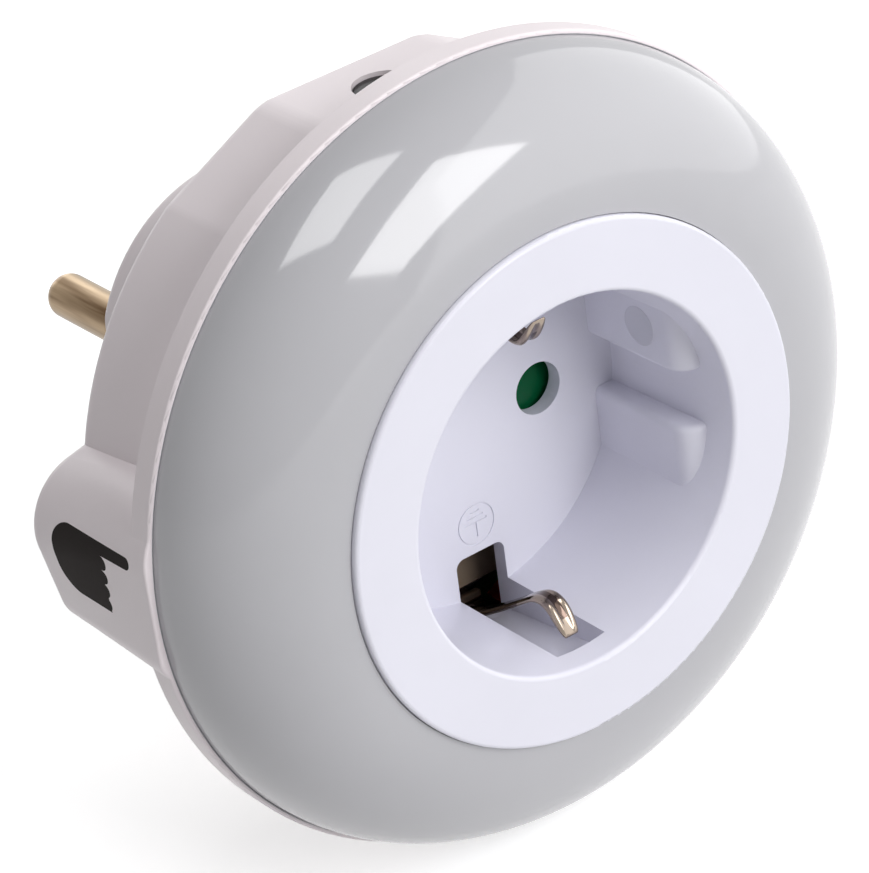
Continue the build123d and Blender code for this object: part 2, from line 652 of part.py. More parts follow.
def lobe_outline(tilt, reach, low, height, inset=0.0):
    """The lobe's rounded end, in a frame whose X runs along the lobe's axis."""
    corners = [(LOBE_ROOT, low + inset), (reach - inset, low + inset),
               (reach - inset, low + height - inset), (LOBE_ROOT, low + height - inset)]
    face = make_face(Polyline(corners, close=True))
    outer = face.vertices().sort_by(Axis.X)[-2:].sort_by(Axis.Y)
    face = fillet(outer[0], LOBE_LOW_ROUND - inset / 2)
    face = fillet(face.vertices().sort_by(Axis.X)[-3:].sort_by(Axis.Y)[-1], LOBE_TOP_ROUND - inset)
    return Rot(0, 0, 180 + tilt) * mirror(face, Plane.XZ)


def lobe_solid():
    """The lobe between the shell's back and the rim's front, drawn from two outlines."""
    back = lobe_outline(LOBE_TILT, LOBE_REACH, LOBE_LOW, LOBE_HEIGHT)
    front = lobe_outline(0.0, RIM_R + LOBE_PROUD, LOBE_FRONT_LOW, LOBE_FRONT_HEIGHT)
    return loft([at(SHELL_BACK) * back, at(RIM_FRONT) * front], ruled=True)


def hand_outline():
    """A pointing hand, drawn in depth and height; its finger points to the front."""
    finger_low = HAND_TOP_Z - FINGER_HEIGHT
    knuckle = (finger_low - HAND_LOW_Z) / KNUCKLE_COUNT
    finger_mid = (HAND_TOP_Z + finger_low) / 2
    palm_back = HAND_BACK_DEPTH - HAND_BACK_ROUND
    palm_front = HAND_KNUCKLE_DEPTH + KNUCKLE_COUNT * KNUCKLE_STEP
    palm_mid = (HAND_TOP_Z + HAND_LOW_Z) / 2
    mark = Pos((palm_front + palm_back) / 2, palm_mid) * Rectangle(palm_back - palm_front, HAND_HEIGHT)
    back_width = HAND_HEIGHT / 2 + HAND_BACK_ROUND
    back_round = Pos(HAND_BACK_DEPTH - back_width / 2, palm_mid) * RectangleRounded(
        back_width, HAND_HEIGHT, HAND_BACK_ROUND)
    finger = Pos((HAND_TIP_DEPTH + palm_back) / 2, finger_mid) * RectangleRounded(
        palm_back - HAND_TIP_DEPTH, FINGER_HEIGHT, FINGER_HEIGHT / 2 - 0.02)
    mark = mark + back_round + finger
    for index in range(KNUCKLE_COUNT):
        front = HAND_KNUCKLE_DEPTH + index * KNUCKLE_STEP
        z = finger_low - (index + 0.5) * knuckle
        length = palm_front + knuckle - front
        mark = mark + Pos(front + length / 2, z) * RectangleRounded(length, knuckle, knuckle / 2 - 0.02)
    return mark


def hand_inlay():
    """The hand, let in flush with the lobe's outer wall."""
    face = Plane.YZ * Pos(-PLUG_FACE, 0) * hand_outline()
    column = extrude(face, -2 * RIM_R)
    wall = lobe_solid()
    inner = Pos(HAND_T, 0, 0) * wall
    return column & (wall - inner)


def rear_shell():
    body = slab(shell_outline(0), SEAT, SHELL_BACK) + lobe_solid() + rod(RIM_R, RIM_FRONT, LEDGE_BACK)
    body = fillet(body.faces().sort_by(Axis.Y)[-1].edges(), SHELL_EDGE_ROUND)
    return fillet(body.faces().sort_by(Axis.Y)[0].edges(), RIM_ROUND)


def lobe_cavity():
    face = lobe_outline(LOBE_TILT, LOBE_REACH, LOBE_LOW, LOBE_HEIGHT, LOBE_WALL)
    return slab(face, LEDGE_BACK, SHELL_INNER_BACK)


def strap_groove(end):
    """The strap's way through the back wall and along the plug boss."""
    half = STRAP_WIDTH / 2 + STRAP_SLOT_CLEAR
    floor = STRAP_FACE_Z - STRAP_T
    bend = STRAP_MID_Z + STRAP_BEND + STRAP_SLOT_CLEAR
    wall_slot = block(-half, half, floor, bend, SHELL_INNER_BACK, SHELL_BACK)
    groove = block(-half, half, floor, BOSS_R, SHELL_BACK, PLUG_FACE - STRAP_END)
    cutter = wall_slot + groove
    return cutter if end > 0 else mirror(cutter, Plane.XY)


def rear_housing():
    """Rim, shell and touch lobe, with standoffs for the boards."""
    body = rear_shell()
    cavity = slab(shell_outline(SHELL_WALL), SEAT, SHELL_INNER_BACK)
    body = body - cavity - lobe_cavity()
    body = body - rod(DOME_R + DOME_GAP, RIM_FRONT, SEAT)
    body = body - rod(BOSS_R, SHELL_INNER_BACK, SHELL_BACK)
    for angle in STANDOFF_ANGLES:
        x, z = around(DRIVER_MID_R, angle)
        body = body + rod(STANDOFF_R, DRIVER_BACK, SHELL_INNER_BACK, x, z)
        screw_back = DRIVER_FRONT + BOARD_SCREW_LENGTH
        body = body - rod(BOARD_SCREW_R, DRIVER_BACK, screw_back, x, z)
    for angle in LED_SCREW_ANGLES:
        x, z = around(LED_SCREW_CIRCLE_R, angle)
        body = body - rod(BOARD_SCREW_R, SEAT, LED_BOARD_FRONT + BOARD_SCREW_LENGTH, x, z)
    for end in ENDS.values():
        body = body - strap_groove(end)
    for angle in spread(POST_COUNT, 45.0):
        x, z = around(POST_CIRCLE_R, angle)
        body = body - rod(CASE_SCREW_R + CASE_SCREW_CLEAR, SHELL_INNER_BACK, SHELL_BACK, x, z)
        recess = SHELL_BACK - CASE_SCREW_HEAD_T
        body = body - rod(CASE_SCREW_HEAD_R + CASE_SCREW_CLEAR, recess, SHELL_BACK, x, z)
    sensor_hole = Pos(0, y_of(SENSOR_DEPTH), TOP_FLAT_Z) * Cylinder(SENSOR_HOLE_R, 3 * SHELL_WALL)
    return body - sensor_hole - hand_inlay()


def plug_boss():
    """The round plug body, with grooves for a wall socket's ribs and for the earth straps."""
    body = rod(BOSS_R, SHELL_INNER_BACK, PLUG_FACE)
    body = fillet(body.edges().filter_by(GeomType.CIRCLE).sort_by(Axis.Y)[-1], BOSS_EDGE_ROUND)
    body = body - rod(BOSS_INNER_R, SHELL_INNER_BACK, CARRIER_BACK)
    for side in SIDES.values():
        hole_r = PIN_R + PIN_BORE_CLEAR
        body = body - rod(hole_r, CARRIER_BACK, PLUG_FACE, side * PIN_X)
        for end in ENDS.values():
            x_span = sorted((side * NOTCH_X, side * BOSS_R))
            z_span = sorted((end * NOTCH_HALF_GAP, end * (NOTCH_HALF_GAP + NOTCH_HEIGHT)))
            body = body - block(*x_span, *z_span, PLUG_FACE - NOTCH_LENGTH, PLUG_FACE)
    for end in ENDS.values():
        body = body - strap_groove(end)
    return body


# ---- Dusk sensor ----

def sensor_lens():
    """A dark window, held from inside by its shoulder."""
    z = (LENS_SHOULDER_Z + LENS_TOP_Z) / 2
    y = y_of(SENSOR_DEPTH)
    neck = Pos(0, y, z) * Cylinder(SENSOR_HOLE_R - SENSOR_CLEAR, LENS_TOP_Z - LENS_SHOULDER_Z)
    z = (LENS_SHOULDER_Z + LENS_BACK_Z) / 2
    return neck + Pos(0, y, z) * Cylinder(SENSOR_SHOULDER_R, SENSOR_SHOULDER_T)


def photocell():
    """The light cell under the window, on two bent legs that stand in the driver board."""
    y = y_of(SENSOR_DEPTH)
    base_z = LENS_BACK_Z - CELL_T
    body = Pos(0, y, LENS_BACK_Z - CELL_T / 2) * Cylinder(CELL_R, CELL_T)
    for side in SIDES.values():
        x = side * CELL_LEG_SPACING / 2
        low = base_z - CELL_LEG_DROP
        route = FilletPolyline((x, y, base_z + CELL_T / 2), (x, y, low), (x, y_of(DRIVER_FRONT), low),
                               radius=CELL_LEG_BEND)
        section = Plane(route @ 0, z_dir=route % 0) * Circle(CELL_LEG_R)
        body = body + sweep(section, route)
    return body


# ---- Light ring ----

def led_board():
    board = tube(LED_BOARD_OUTER_R, LED_BOARD_INNER_R, LED_BOARD_FRONT, SEAT)
    for angle in LED_SCREW_ANGLES:
        x, z = around(LED_SCREW_CIRCLE_R, angle)
        board = board - rod(BOARD_SCREW_R + BOARD_SCREW_CLEAR, LED_BOARD_FRONT, SEAT, x, z)
    return board


def leds():
    packages = []
    for angle in spread(LED_COUNT, 0.0):
        package = slab(Rectangle(LED_DEPTH, LED_WIDTH), LED_BOARD_FRONT - LED_T, LED_BOARD_FRONT)
        packages.append(on_ring(LED_CIRCLE_R, angle) * package)
    return Compound(packages)


def reflector_ring():
    """A white ring with a window over each LED."""
    inner = LED_BOARD_INNER_R + LED_BOARD_CLEAR
    outer = LED_BOARD_OUTER_R - REFLECTOR_EDGE_CLEAR
    front = LED_BOARD_FRONT - REFLECTOR_T
    ring = tube(outer, inner, front, LED_BOARD_FRONT)
    clear = 2 * REFLECTOR_WINDOW_CLEAR
    window = slab(Rectangle(LED_DEPTH + clear, LED_WIDTH + clear), front, LED_BOARD_FRONT)
    for angle in spread(LED_COUNT, 0.0):
        ring = ring - on_ring(LED_CIRCLE_R, angle) * window
    for angle in LED_SCREW_ANGLES:
        x, z = around(LED_SCREW_CIRCLE_R, angle)
        ring = ring - rod(BOARD_SCREW_HEAD_R + BOARD_SCREW_CLEAR, front, LED_BOARD_FRONT, x, z)
    return ring


# ---- Driver board and what stands on it ----

def driver_board():
    board = tube(DRIVER_OUTER_R, DRIVER_INNER_R, DRIVER_FRONT, DRIVER_BACK)
    for angle in STANDOFF_ANGLES:
        x, z = around(DRIVER_MID_R, angle)
        board = board - rod(BOARD_SCREW_R + BOARD_SCREW_CLEAR, DRIVER_FRONT, DRIVER_BACK, x, z)
    return board


def boxed_part(size, angle):
    """A rectangular component, its length across the radius, standing on the driver board."""
    length, width, height = size
    body = slab(Rectangle(width, length), DRIVER_FRONT - height, DRIVER_FRONT)
    return on_ring(DRIVER_MID_R, angle) * body


def bulk_capacitor():
    x, z = around(DRIVER_MID_R, BULK_CAP_ANGLE)
    body = rod(BULK_CAP_R, DRIVER_FRONT - BULK_CAP_HEIGHT, DRIVER_FRONT, x, z)
    return fillet(body.edges().filter_by(GeomType.CIRCLE).sort_by(Axis.Y)[0], BULK_CAP_R / 8)


def axial_part(radius, length, angle):
    """A cylinder that lies across the radius, on two legs bent down to the driver board."""
    y = y_of(DRIVER_FRONT) - radius - RESISTOR_LEG_R
    body = Pos(0, y, 0) * Cylinder(radius, length)
    body = fillet(body.edges().filter_by(GeomType.CIRCLE), radius / 4)
    for end in ENDS.values():
        reach = end * (length / 2 + 4 * RESISTOR_LEG_R)
        route = FilletPolyline((0, y, 0), (0, y, reach), (0, y_of(DRIVER_FRONT), reach),
                               radius=2 * RESISTOR_LEG_R)
        section = Plane(route @ 0, z_dir=route % 0) * Circle(RESISTOR_LEG_R)
        body = body + sweep(section, route)
    return on_ring(DRIVER_MID_R, angle) * body


def dropper_resistors():
    return Compound([axial_part(RESISTOR_R, RESISTOR_LENGTH, angle) for angle in RESISTOR_ANGLES])


def header_holes():
    return [on_ring(DRIVER_MID_R, HEADER_ANGLE) * Pos(0, 0, end * HEADER_SPACING / 2)
            for end in ENDS.values()]


def link_header():
    """The plastic base that keeps the two link pins apart."""
    length, width, height = HEADER_SIZE
    body = boxed_part((length, width, height), HEADER_ANGLE)
    for place in header_holes():
        body = body - place * rod(HEADER_PIN_R, DRIVER_FRONT - height, DRIVER_FRONT)
    return body


def link_pins():
    """Two wire pins that feed the light ring from the driver board."""
    return Compound([place * rod(HEADER_PIN_R, SEAT, DRIVER_FRONT) for place in header_holes()])


# ---- Touch switch ----

def touch_plate():
    """The sensing foil on the inside of the lobe's outer wall."""
    outer = LOBE_REACH - LOBE_WALL
    low = LOBE_LOW + LOBE_LOW_ROUND + LOBE_WALL / 2
    high = LOBE_LOW + LOBE_HEIGHT - LOBE_TOP_ROUND
    plate = Pos(outer - TOUCH_PLATE_T / 2, -(low + high) / 2) * Rectangle(TOUCH_PLATE_T, high - low)
    middle = (LEDGE_BACK + SHELL_INNER_BACK) / 2
    return slab(Rot(0, 0, 180 + LOBE_TILT) * plate,
                middle - TOUCH_PLATE_LENGTH / 2, middle + TOUCH_PLATE_LENGTH / 2)


def lead(points):
    """An insulated wire through the given places, its bends as large as its runs allow."""
    places = [Vector(x, y_of(depth), z) for x, depth, z in points]
    bends = []
    for before, here, after in zip(places, places[1:], places[2:]):
        arriving = here - before
        leaving = after - here
        half_turn = radians(arriving.get_angle(leaving) / 2)
        run = min(arriving.length, leaving.length)
        bends.append(0.45 * run * cos(half_turn) / sin(half_turn))
    route = FilletPolyline(*places, radius=bends)
    section = Plane(route @ 0, z_dir=route % 0) * Circle(LEAD_R)
    return sweep(section, route)


def supply_lead(side):
    """From a contact's solder tag, over the driver board's edge, and down to its front face."""
    start = TAG_FRONT + TAG_T / 2
    crest = DRIVER_FRONT - LEAD_RISE
    return lead([(side * TAG_END_X, start, 0),
                 (side * (TAG_END_X + LEAD_RUN), start, 0),
                 (side * (DRIVER_MID_R - LEAD_RUN), crest, LEAD_LAND_Z / 2),
                 (side * DRIVER_MID_R, crest, LEAD_LAND_Z),
                 (side * DRIVER_MID_R, DRIVER_FRONT, LEAD_LAND_Z)])


def touch_lead():
    """From the sensing foil to the driver board."""
    start = (LEDGE_BACK + SHELL_INNER_BACK) / 2
    crest = DRIVER_FRONT - LEAD_RISE
    outward = Vector(-cos(radians(LOBE_TILT)), 0, -sin(radians(LOBE_TILT)))
    upward = Vector(-sin(radians(LOBE_TILT)), 0, cos(radians(LOBE_TILT)))
    place = outward * (LOBE_REACH - LOBE_WALL - TOUCH_PLATE_T) + upward * (LOBE_LOW + LOBE_HEIGHT / 2)
    inner = place - outward * LEAD_RUN
    land_z = inner.Z + LEAD_RUN / 2
    return lead([(place.X, start, place.Z),
                 (inner.X, start, inner.Z),
                 (-DRIVER_MID_R, crest, land_z),
                 (-DRIVER_MID_R, DRIVER_FRONT, land_z)])


# ---- Screws ----

def screw(radius, length, head_r, head_t, turn=0):
    """A pan-head screw along Y with its head's outer face at the origin, pointing to the front."""
    head = extrude(Plane.XZ * Circle(head_r), head_t)
    shank = extrude(Plane.XZ.offset(head_t) * Circle(radius), length)
    cross = Rectangle(2 * head_r, DRIVE_SLOT) + Rectangle(DRIVE_SLOT, 2 * head_r)
    cross = cross & Circle(head_r * 0.62)
    body = head + shank - extrude(Plane.XZ * cross, DRIVE_DEPTH)
    return Rot(turn, 0, 0) * body


def case_screws():
    screws = []
    for angle in spread(POST_COUNT, 45.0):
        x, z = around(POST_CIRCLE_R, angle)
        fastener = screw(CASE_SCREW_R, CASE_SCREW_LENGTH, CASE_SCREW_HEAD_R, CASE_SCREW_HEAD_T)
        screws.append(Pos(x, y_of(SHELL_BACK), z) * fastener)
    return Compound(screws)


def board_screws(circle_r, angles, face):
    """Screws that hold a board down from its front face."""
    screws = []
    for angle in angles:
        x, z = around(circle_r, angle)
        fastener = screw(BOARD_SCREW_R, BOARD_SCREW_LENGTH - SCREW_TIP_GAP,
                         BOARD_SCREW_HEAD_R, BOARD_SCREW_HEAD_T, 180)
        screws.append(Pos(x, y_of(face - BOARD_SCREW_HEAD_T), z) * fastener)
    return Compound(screws)


NODES = {
    "socket_insert": socket_insert(),
    "socket_floor": socket_floor(),
    "diffuser": diffuser(),
    "rear_housing": rear_housing(),
    "plug_boss": plug_boss(),
    "hand_mark": hand_inlay(),
    "shutter": shutter(),
    "shutter_cover": shutter_cover(),
    "shutter_spring": shutter_spring(),
    "pin_carrier": pin_carrier(),
    "earth_bridge": earth_bridge(),
    "earth_rivets": earth_rivets(),
    "sensor_lens": sensor_lens(),
    "photocell": photocell(),
    "led_board": led_board(),
    "leds": leds(),
    "reflector_ring": reflector_ring(),
    "driver_board": driver_board(),
    "film_capacitor": boxed_part(FILM_CAP_SIZE, FILM_CAP_ANGLE),
    "bulk_capacitor": bulk_capacitor(),
    "bridge_rectifier": boxed_part(RECTIFIER_SIZE, RECTIFIER_ANGLE),
    "controller_chip": boxed_part(CHIP_SIZE, CHIP_ANGLE),
    "dropper_resistors": dropper_resistors(),
    "fuse_link": axial_part(FUSE_R, FUSE_LENGTH, FUSE_ANGLE),
    "link_header": link_header(),
    "link_pins": link_pins(),
    "touch_plate": touch_plate(),
    "touch_lead": touch_lead(),
    "case_screws": case_screws(),
    "led_board_screws": board_screws(LED_SCREW_CIRCLE_R, LED_SCREW_ANGLES, LED_BOARD_FRONT),
    "driver_board_screws": board_screws(DRIVER_MID_R, STANDOFF_ANGLES, DRIVER_FRONT),
}
for side_name, side in SIDES.items():
    NODES[f"plug_pin_{side_name}"] = plug_pin(side)
    NODES[f"contact_{side_name}"] = contact(side)
    NODES[f"supply_lead_{side_name}"] = supply_lead(side)
for end_name, end in ENDS.items():
    NODES[f"earth_clip_{end_name}"] = earth_clip(end)
    NODES[f"earth_strap_{end_name}"] = earth_strap(end)

os.makedirs("parts", exist_ok=True)
for name, shape in NODES.items():
    export_step(shape, f"parts/{name}.step")
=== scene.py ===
# %% [markdown]
# A plug-in night light with a socket in its face
#
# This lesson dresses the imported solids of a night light: an opal ring that glows round an earthed
# socket, a dusk sensor that looks up, a touch lobe on the left, and two brass pins that carry it in
# the wall. The solids already have the right size and place. The lesson gives them their finishes,
# and models anew the pieces whose look needs more than the solid has.

import json
from math import cos, pi, radians, sin

import bpy
from mathutils import Matrix, Vector


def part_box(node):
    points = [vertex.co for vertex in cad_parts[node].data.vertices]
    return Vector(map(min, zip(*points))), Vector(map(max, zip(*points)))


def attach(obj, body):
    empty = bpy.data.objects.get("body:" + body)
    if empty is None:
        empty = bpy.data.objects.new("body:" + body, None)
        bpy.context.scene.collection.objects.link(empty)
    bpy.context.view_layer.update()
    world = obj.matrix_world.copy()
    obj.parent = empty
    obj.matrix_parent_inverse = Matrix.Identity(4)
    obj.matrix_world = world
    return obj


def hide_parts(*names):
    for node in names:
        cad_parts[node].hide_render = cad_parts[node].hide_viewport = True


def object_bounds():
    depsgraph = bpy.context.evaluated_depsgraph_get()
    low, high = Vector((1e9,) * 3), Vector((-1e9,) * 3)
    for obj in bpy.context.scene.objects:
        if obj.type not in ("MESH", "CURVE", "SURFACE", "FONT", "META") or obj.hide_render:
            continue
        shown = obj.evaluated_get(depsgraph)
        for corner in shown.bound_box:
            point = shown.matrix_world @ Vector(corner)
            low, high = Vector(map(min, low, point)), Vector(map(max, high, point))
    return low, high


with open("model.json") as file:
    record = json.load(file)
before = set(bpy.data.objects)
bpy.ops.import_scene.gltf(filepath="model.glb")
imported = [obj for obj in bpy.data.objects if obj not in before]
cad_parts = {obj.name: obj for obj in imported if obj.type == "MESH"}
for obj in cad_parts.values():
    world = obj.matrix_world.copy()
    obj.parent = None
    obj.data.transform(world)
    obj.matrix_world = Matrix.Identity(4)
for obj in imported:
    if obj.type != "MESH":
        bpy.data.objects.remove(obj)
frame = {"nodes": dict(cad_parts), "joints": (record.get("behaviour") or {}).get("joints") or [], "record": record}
NODES = frame["nodes"]
cad_box = [list(corner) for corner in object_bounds()]
MM = 0.001
print("nodes:", len(NODES), "box:", cad_box)

# %% [markdown]
# The camera comes first, because it decides which surfaces deserve the most work. It looks down from
# the front left, through a long lens that keeps the circles close to true ellipses. It is placed by
# the point that it aims at, a compass angle, a height above the horizon and a small roll.

# %% Camera
AIM = Vector((-8.9, -44.5, 5.7)) * MM
VIEW_AZIMUTH = radians(34.65)
VIEW_ELEVATION = radians(29.22)
VIEW_ROLL = radians(-7.8)
VIEW_DISTANCE = 421.6 * MM
LENS_MM = 185.6
CLIP_START = 0.01


def heading(azimuth, elevation):
    """The direction of a view that looks along +Y, turned right and tipped down."""
    return Vector((sin(azimuth) * cos(elevation), cos(azimuth) * cos(elevation), -sin(elevation)))


def looking(direction, roll=0.0):
    """The rotation of a camera or a light that looks along a direction."""
    turn = direction.to_track_quat("-Z", "Y").to_matrix() @ Matrix.Rotation(roll, 3, "Z")
    return turn.to_euler()


view_direction = heading(VIEW_AZIMUTH, VIEW_ELEVATION)
bpy.ops.object.camera_add(location=AIM - view_direction * VIEW_DISTANCE,
                          rotation=looking(view_direction, VIEW_ROLL))
camera = bpy.context.object
camera.data.lens = LENS_MM
camera.data.clip_start = CLIP_START
bpy.context.scene.camera = camera
print("camera at", tuple(round(value, 3) for value in camera.location))

# %% [markdown]
# The studio is a pale table and four softboxes: one over the night light, one in front of it, a large
# weak one on its right, and a weak one behind it that draws a thin bright line along the shell's back
# edges. Glossy plastic shows softboxes as bright windows, so their places and sizes decide the
# highlights. The dictionary below holds, for each, the direction in which it stands, its width and
# height in metres, its roll in degrees and its strength in watts per square metre and steradian.

# %% Softboxes
SOFTBOX_DISTANCE = 1.0
SOFTBOXES = {
    "front_softbox": ((0.204, -0.822, 0.532), (0.60, 0.52), 36, 5.9),
    "top_softbox": ((-0.225, -0.173, 0.959), (0.50, 0.53), -6, 4.2),
    "side_softbox": ((0.92, -0.38, 0.05), (2.4, 2.4), 0, 1.1),
    "back_softbox": ((0.20, 0.93, 0.30), (0.70, 0.70), 0, 1.4),
}


def softbox(name, stands_at, size, roll, strength):
    """A flat light at SOFTBOX_DISTANCE from the aim, turned to shine on it."""
    direction = Vector(stands_at).normalized()
    width, height = size
    bpy.ops.object.light_add(type="AREA", location=AIM + direction * SOFTBOX_DISTANCE,
                             rotation=looking(-direction, radians(roll)))
    light = bpy.context.object
    light.name = name
    light.data.shape = "RECTANGLE"
    light.data.size = width
    light.data.size_y = height
    light.data.energy = strength * pi * width * height


for name, settings in SOFTBOXES.items():
    softbox(name, *settings)
print("softboxes:", ", ".join(SOFTBOXES))

# %% [markdown]
# The air round the softboxes gives a weak even light, which only softens the shadows. The camera and
# everything that shines see it as plain white, so the world's strength is switched by Light Path: one
# value for camera, glossy and transmission rays, and another for all the rest.

# %% Air
WHITE = (1.0, 1.0, 1.0, 1.0)
AIR_LIGHT = 0.06


def bright_where_seen(nodes, links, strength_socket, dim, bright):
    """Bright for the camera and for reflections, and dim for all other rays."""
    path = nodes.new("ShaderNodeLightPath")
    seen = path.outputs["Is Camera Ray"]
    for kind in ("Is Glossy Ray", "Is Transmission Ray"):
        either = nodes.new("ShaderNodeMath")
        either.operation = "MAXIMUM"
        links.new(seen, either.inputs[0])
        links.new(path.outputs[kind], either.inputs[1])
        seen = either.outputs[0]
    blend = nodes.new("ShaderNodeMapRange")
    blend.inputs["To Min"].default_value = dim
    blend.inputs["To Max"].default_value = bright
    links.new(seen, blend.inputs["Value"])
    links.new(blend.outputs["Result"], strength_socket)


world = bpy.data.worlds.new("studio_air")
world.use_nodes = True
bpy.context.scene.world = world
air = world.node_tree.nodes["Background"]
air.inputs["Color"].default_value = WHITE
bright_where_seen(world.node_tree.nodes, world.node_tree.links, air.inputs["Strength"], AIR_LIGHT, 1.0)
bpy.context.scene.view_settings.view_transform = "Standard"
print("air light:", AIR_LIGHT)

# %% [markdown]
# Most of the night light is moulded plastic. A moulding is never one flat colour: it has faint clouds
# where the melt flowed, and a skin of very fine pits that break up its gloss. Both come from noise
# that reads Object coordinates, so the pattern stays on the piece from every side. Sheet metal gets
# streaks instead: the same noise, stretched along the way the metal was drawn. The turned pins get
# such streaks too, and theirs are painted reflections over the tarnish.

# %% Node helpers
def blank_material(name):
    """A new material, with its nodes, its links and its shader at hand."""
    material = bpy.data.materials.new(name)
    material.use_nodes = True
    nodes = material.node_tree.nodes
    return material, nodes, material.node_tree.links, nodes["Principled BSDF"]


def noise(nodes, links, scale, detail=3.0, stretch=(1.0, 1.0, 1.0)):
    """Noise on Object coordinates, with stretch as the pattern's density along each axis."""
    place = nodes.new("ShaderNodeTexCoord")
    mapping = nodes.new("ShaderNodeMapping")
    mapping.inputs["Scale"].default_value = stretch
    links.new(place.outputs["Object"], mapping.inputs["Vector"])
    texture = nodes.new("ShaderNodeTexNoise")
    texture.inputs["Scale"].default_value = scale
    texture.inputs["Detail"].default_value = detail
    links.new(mapping.outputs["Vector"], texture.inputs["Vector"])
    return texture.outputs["Fac"]


def ramp(nodes, links, source, low, high, start=0.3, end=0.7):
    """Runs from one colour to another as the source goes from start to end."""
    node = nodes.new("ShaderNodeValToRGB")
    node.color_ramp.elements[0].position = start
    node.color_ramp.elements[0].color = (*low, 1.0)
    node.color_ramp.elements[1].position = end
    node.color_ramp.elements[1].color = (*high, 1.0)
    links.new(source, node.inputs["Fac"])
    return node.outputs["Color"]


def spread_value(nodes, links, source, low, high):
    """The same for a plain number, such as a roughness."""
    node = nodes.new("ShaderNodeMapRange")
    node.inputs["To Min"].default_value = low
    node.inputs["To Max"].default_value = high
    links.new(source, node.inputs["Value"])
    return node.outputs["Result"]


def relief(nodes, links, shader, source, depth, strength):
    """Tiny hills and pits, depth metres high."""
    bump = nodes.new("ShaderNodeBump")
    bump.inputs["Distance"].default_value = depth
    bump.inputs["Strength"].default_value = strength
    links.new(source, bump.inputs["Height"])
    links.new(bump.outputs["Normal"], shader.inputs["Normal"])


def shade(colour, factor):
    """The colour made darker or lighter by a factor."""
    return tuple(min(1.0, channel * factor) for channel in colour)


print("node helpers: noise, ramp, spread_value, relief, shade")

# %% Moulded plastic
CLOUD_SCALE = 60.0
PIT_SCALE = 2600.0
PIT_DETAIL = 2.0
PIT_DEPTH = 0.02 * MM


def moulded(name, colour, roughness, pits=0.08, clouds=0.03, shine=0.4):
    """Injection-moulded plastic: faint clouds in the colour, and fine pits in the skin."""
    material, nodes, links, shader = blank_material(name)
    shader.inputs["Specular IOR Level"].default_value = shine
    cloud = noise(nodes, links, CLOUD_SCALE)
    links.new(ramp(nodes, links, cloud, shade(colour, 1 - clouds), colour), shader.inputs["Base Color"])
    skin = noise(nodes, links, PIT_SCALE, PIT_DETAIL)
    links.new(spread_value(nodes, links, skin, roughness * 0.9, roughness * 1.1),
              shader.inputs["Roughness"])
    relief(nodes, links, shader, skin, PIT_DEPTH, pits)
    return material


print("moulded plastic: pits", round(1 / PIT_SCALE / MM, 2), "mm, clouds", round(1 / CLOUD_SCALE / MM), "mm")

# %% Rolled metal
STREAK_SCALE = 500.0
STREAK_DEPTH = 0.01 * MM
STREAK_RELIEF = 0.3


def rolled_metal(name, colour, roughness, along):
    """Sheet metal with drawn streaks: noise that is dense across the way of rolling."""
    material, nodes, links, shader = blank_material(name)
    shader.inputs["Metallic"].default_value = 1.0
    streaks = noise(nodes, links, STREAK_SCALE, stretch=along)
    links.new(ramp(nodes, links, streaks, shade(colour, 0.8), colour), shader.inputs["Base Color"])
    links.new(spread_value(nodes, links, streaks, roughness * 0.7, roughness * 1.3),
              shader.inputs["Roughness"])
    relief(nodes, links, shader, streaks, STREAK_DEPTH, STREAK_RELIEF)
    return material


print("rolled metal: streaks", round(1 / STREAK_SCALE / MM, 1), "mm")

# %% Tarnished pins with painted reflections
# Dark and pale brass for the pins' streaks: partly tarnish, partly painted reflections of the surroundings.
TARNISH_AND_DARK_REFLECTION_BRASS = (0.10, 0.058, 0.028)
PAINTED_REFLECTION_BRASS = (0.50, 0.38, 0.25)
PIN_STREAK_SCALE = 420.0
PIN_STREAK_DETAIL = 4.0
PIN_STREAK_RELIEF = 0.4
PIN_ROUGHNESS = (0.22, 0.42)
ALONG_PIN = (1.0, 0.06, 1.0)


def tarnish_and_reflection_pin(name):
    """Turned brass that hands and sockets have dulled, with brown and pale streaks along the pin that are painted
    reflections.
    """
    material, nodes, links, shader = blank_material(name)
    shader.inputs["Metallic"].default_value = 1.0
    streaks = noise(nodes, links, PIN_STREAK_SCALE, PIN_STREAK_DETAIL, ALONG_PIN)
    # The streaks run from dark to pale brass along the pin: painted reflections over the tarnish.
    links.new(ramp(nodes, links, streaks, TARNISH_AND_DARK_REFLECTION_BRASS, PAINTED_REFLECTION_BRASS, 0.4, 0.66), shader.inputs["Base Color"])
    links.new(spread_value(nodes, links, streaks, *PIN_ROUGHNESS), shader.inputs["Roughness"])
    relief(nodes, links, shader, streaks, STREAK_DEPTH, PIN_STREAK_RELIEF)
    return material


print("tarnished pins: brass from", TARNISH_AND_DARK_REFLECTION_BRASS, "to", PAINTED_REFLECTION_BRASS)

# %% [markdown]
# The record names a material slot for every node. A dictionary gives each slot its finish, and a loop
# puts it on the solids. White mouldings differ a little: the socket is cool and smooth, and the shell
# behind is warmer, because it is another plastic. The last three numbers of a metal say how dense its
# streaks are along X, Y and Z, so the small ones show the way that the metal was drawn.

# %% Finishes for the slots
SOCKET_WHITE = (0.775, 0.77, 0.855)
SHELL_WHITE = (0.86, 0.79, 0.815)
OPAL_GREY = (0.46, 0.457, 0.483)
NICKEL = (0.125, 0.09, 0.075)
BRASS = (0.62, 0.47, 0.27)
ALONG_CLIP = (1.0, 0.06, 0.06)

